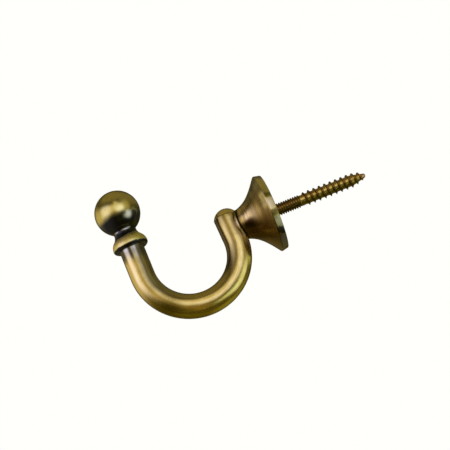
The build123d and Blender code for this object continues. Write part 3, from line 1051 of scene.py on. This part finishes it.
def brass_hook():
    """Relieved antique brass: black patina under the ball, in the neck and under the collar, with painted
    shade in creases and painted highlights and shade along the bar.
    """
    material, n = new_material("hook_antique_brass")
    p = hook_places(n)
    patina = patina_masks(n, p)
    finial = finial_masks(n, p, patina)
    bar = bar_masks(n, p)
    joint = joint_masks(n, p)
    along = n.times(n.plus(p.y, p.z), 0.08)
    drawn = n.add("ShaderNodeCombineXYZ", X=p.x, Y=p.inward, Z=along).outputs[0]
    drawn = n.noise(drawn, 2.6, 3.0, 0.65)
    shade = n.paint(n.mix(patina.dim, *PATINA), (
        (patina.worn, 1, WORN_GREY),
        (patina.neck, 1, NECK_GREY),
    ))
    colour = n.paint(n.mix(p.clouds, *GOLD), (
        (n.ramp(p.fleck, 0.58, 0.74, 0.0, 0.30), 1, FLECK_BROWN),
        (n.ramp(drawn, 0.52, 0.66, 0.0, 0.45), 1, DRAWN_DARK),
        (n.ramp(drawn, 0.36, 0.47, 0.40, 0.0), 1, DRAWN_PALE),
        (finial.ball, 1, n.mix(p.clouds, *BALL_GOLD)),
        (finial.bright, 1, BRIGHT_GOLD),
        (finial.pits, 1, PIT_BROWN),
        (bar.outer, 1, OUTER_GOLD),
        (bar.far_edge, 0.6, EDGE_BROWN),
        (bar.dull, 1, DULL_BROWN),
        (bar.gap, 1, GAP_BROWN),
        (bar.hollow, 0.85, HOLLOW_BROWN),
        (bar.inside, 1, n.mix(bar.shaded, *INSIDE_BROWN)),
        (bar.veil, 0.80, VEIL_BROWN),
        (joint.dome, 1, DOME_GOLD),
        (bar.sheltered, 0.7, SHELTERED_GOLD),
        (bar.far_leg, 0.92, n.mix(n.ramp(p.turn, 108.0, 128.0), *FAR_LEG_BROWN)),
        (finial.right, 0.85, RIGHT_GREY),
        (finial.collar, 1, n.mix(n.ramp(p.y, BALL_Y - 2.0, BALL_Y + 4.0), *COLLAR_GOLD)),
        (finial.lip, 0.8, LIP_GOLD),
        (joint.glint, 0.85, GLINT_GOLD),
        (finial.grey, 1, BAR_GREY),
        (finial.tips, 0.8, TIP_GREY),
        (finial.streaks, 0.92, STREAK_BLACK),
        (patina.black, 1, shade),
        (joint.crease, 1, CREASE_BROWN),
    ))
    rough = n.plus(n.plus(0.18, n.times(p.fleck, 0.10)), n.times(finial.collar, 0.20))
    grain = n.noise(p.mm, 6.0, 2.0, 0.6)
    bump = n.add("ShaderNodeBump", Strength=0.05, Distance=BUMP_HEIGHT, Height=grain)
    dull = n.plus(n.ramp(p.y, BALL_Y - 4.5, BALL_Y - 1.0, 0.35, 0.02), n.times(patina.dim, 0.12))
    # less metallic under the black patina, and on the near leg's patch of painted light
    metal = n.minus(n.minus(1.0, n.times(patina.black, dull)), n.times(bar.sheltered, 0.17))
    finish(n, colour, rough, bump, coat=0.2, metal=metal)
    return material


def rim_colour(n, mm, x, z, radius, turned):
    """Pale gold with bands of painted reflection and shade along the rim's band, and turned gold on the back
    inside it.
    """
    ragged = n.plus(z, n.swing(n.noise(mm, 0.9, 3.0, 0.6), 2.0))
    edge = n.times(n.ramp(radius, RIM_BACK_R - 0.25, RIM_BACK_R - 0.1), n.ramp(x, -3.0, 3.0, 0.25, 1.0))
    pale = n.mix(n.ramp(z, 7.0, 11.0), *RIM_GOLD)
    # painted reflections and shade, by height round the rim
    for low, high, soft, colour in RIM_PATCHES:
        pale = n.mix(n.times(n.band(ragged, low, high, soft), edge), pale, colour)
    back = n.fall(radius, RIM_BACK_R - 0.2, RIM_BACK_R - 0.1)
    return n.mix(back, pale, n.mix(n.ramp(turned, 0.42, 0.60), *BACK_GOLD))


def brass_rose():
    """Antique brass with the fine rings of turning, paler along the rim, with painted highlights,
    reflections and shade on the flank, the rim and where it meets the hook.
    """
    material, n = new_material("rose_antique_brass")
    mm, x, y, z = millimetres(n)
    radius = n.length(x, z)
    steep = n.math("DIVIDE", z, radius)      # 1 straight above the bolt, -1 straight below it
    cloud = n.noise(mm, 0.3, 4.0, 0.55)

    # Noise along the rings of turning, with a slow swing round the axis
    swing = n.times(steep, n.ramp(radius, 6.0, RELIEF_R, 0.7, 0.15))
    rings = n.add("ShaderNodeCombineXYZ", X=radius, Y=y, Z=swing).outputs[0]
    turned = n.plus(n.times(n.noise(rings, 3.0, 3.0, 0.6), 0.5), n.times(n.noise(rings, 1.1, 2.0, 0.5), 0.5))

    # painted reflection: a dark band across the upper flank
    dusky = n.times(n.band(steep, 0.25, 0.60, 0.12), n.ramp(radius, 7.5, 9.5))
    # painted highlight: paler gold on the top of the flank, above the bolt
    upper = n.times(n.ramp(steep, 0.45, 0.75), n.ramp(radius, 5.5, 7.5))
    # painted highlight: a pale streak on the flank just inside the rim
    rubbed = n.times(n.band(radius, 11.0, 12.6, 0.4), n.band(z, -1.2, 4.0, 1.2))
    # painted shade: dark brown over the lower part of the flank, lighter again straight below the bolt
    lower = n.times(n.fall(n.plus(z, n.swing(cloud, 3.0)), -4.0, 0.5), n.ramp(radius, 8.0, 12.0, 0.95, 0.75))
    lower_lip = n.times(n.fall(steep, -0.97, -0.86), n.ramp(radius, 6.5, 9.5))
    # painted reflection: a dark, ragged spot low on the flank
    squeezed = n.operate("ShaderNodeVectorMath", "MULTIPLY", (mm, HOLLOW_SQUEEZE)).outputs["Vector"]
    hollow = n.plus(n.near(squeezed, DARK_HOLLOW, 0.2, 4.0), n.swing(cloud, 1.1))
    rim = n.ramp(y, RIM_CORNER_Y - 0.3, RIM_CORNER_Y + 0.2)
    # painted shade: dark brown on the rose where it meets the hook
    seam = n.fall(past_saddle(n, x, y), 0.30, 0.75)
    colour = n.paint(n.mix(n.ramp(cloud, 0.35, 0.65), *ROSE_GOLD), (
        (n.fall(radius, 5.4, 6.8), 1, ROSE_NECK_GOLD),
        (n.ramp(turned, 0.44, 0.57, 0.0, 0.75), 1, TURNED_DARK),
        (n.ramp(turned, 0.37, 0.44, 0.6, 0.0), 1, TURNED_PALE),
        (dusky, 0.75, DUSKY_BROWN),
        (upper, 0.8, n.mix(n.ramp(turned, 0.42, 0.56), *UPPER_GOLD)),
        (rubbed, 1, RUBBED_GOLD),
        (n.band(radius, 9.4, 10.3, 0.35), 0.6, GROOVE_BROWN),
        (lower, 1, LOWER_BROWN),
        (n.ramp(hollow, 0.2, 0.95), 1, HOLLOW_BLACK),
        (lower_lip, 0.8, LOWER_LIP_GOLD),
        (rim, 1, rim_colour(n, mm, x, z, radius, turned)),
        (seam, 1, SEAM_BROWN),
    ))
    rough = n.plus(0.20, n.times(turned, 0.10))
    bump = n.add("ShaderNodeBump", Strength=0.12, Distance=BUMP_HEIGHT, Height=turned)
    finish(n, colour, rough, bump, coat=0.25)
    return material


def bolt_plating():
    """Yellow passivated plating, darker on the crests and the fine thread, with painted shade on its
    underside, coppery at the tip.
    """
    material, n = new_material("bolt_yellow_passivated")
    mm, x, y, z = millimetres(n)
    cloud = n.noise(mm, 0.8, 3.0, 0.55)
    crest = n.ramp(n.length(x, z), WOOD_ROOT_R + 0.08, WOOD_ROOT_R + 0.36)
    fine = n.fall(y, MACHINE_END_Y - 0.3, MACHINE_END_Y + 0.7)
    # painted shade: olive on the bolt's underside
    under = n.fall(n.plus(z, n.times(cloud, 0.6)), -0.35, 0.15)
    colour = n.paint(n.mix(n.ramp(cloud, 0.35, 0.65), *PLATING), (
        (fine, 0.45, FINE_THREAD_BROWN),
        (crest, 0.6, CREST_BROWN),
        (under, 0.65, UNDER_OLIVE),
        (n.ramp(y, TIP_START_Y, TIP_START_Y + 1.0), 1, TIP_COPPER),
    ))
    finish(n, colour, n.plus(0.24, n.times(cloud, 0.1)), None, coat=0.1)
    return material


def dress(obj, material):
    if not obj.material_slots:
        obj.data.materials.append(material)
    for slot in obj.material_slots:
        slot.material = material


bpy.context.scene.view_settings.view_transform = "Standard"
make_camera()
make_world()
make_floor()
make_tent()
make_lamps()
dress(make_hook(), brass_hook())
dress(make_rose(), brass_rose())
dress(make_bolt(), bolt_plating())
